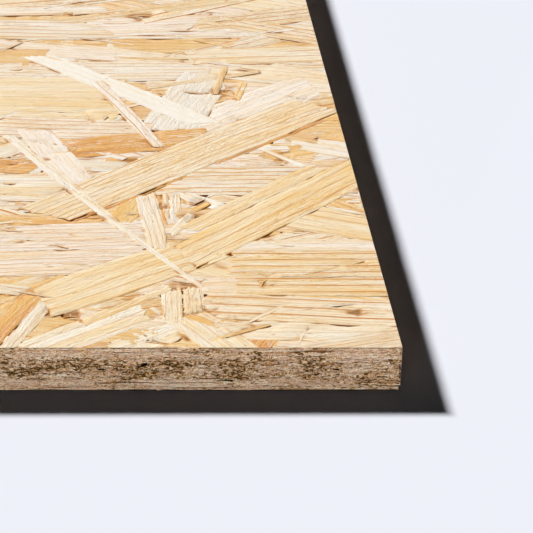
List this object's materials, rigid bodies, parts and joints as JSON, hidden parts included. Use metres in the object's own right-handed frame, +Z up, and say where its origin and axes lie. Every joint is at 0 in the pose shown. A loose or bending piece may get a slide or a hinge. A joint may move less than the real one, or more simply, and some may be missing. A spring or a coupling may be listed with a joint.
{
  "type": "osb panel",
  "caption": "Flat rectangular board of pressed wood strands with square sawn edges, for sheathing, floors, shelves and boxes.",
  "frame": {"origin": "middle of the underside, on the surface that the board lies on", "axes": "+X along the long side, +Y along the short side, +Z up through the thickness"},
  "size_m": [1.22, 0.61, 0.018],
  "materials": {
    "strand_board": "unsanded pressed softwood strands, with a slight resin sheen"
  },
  "bodies": {
    "root": {"osb_panel": "strand_board"}
  },
  "joints": []
}
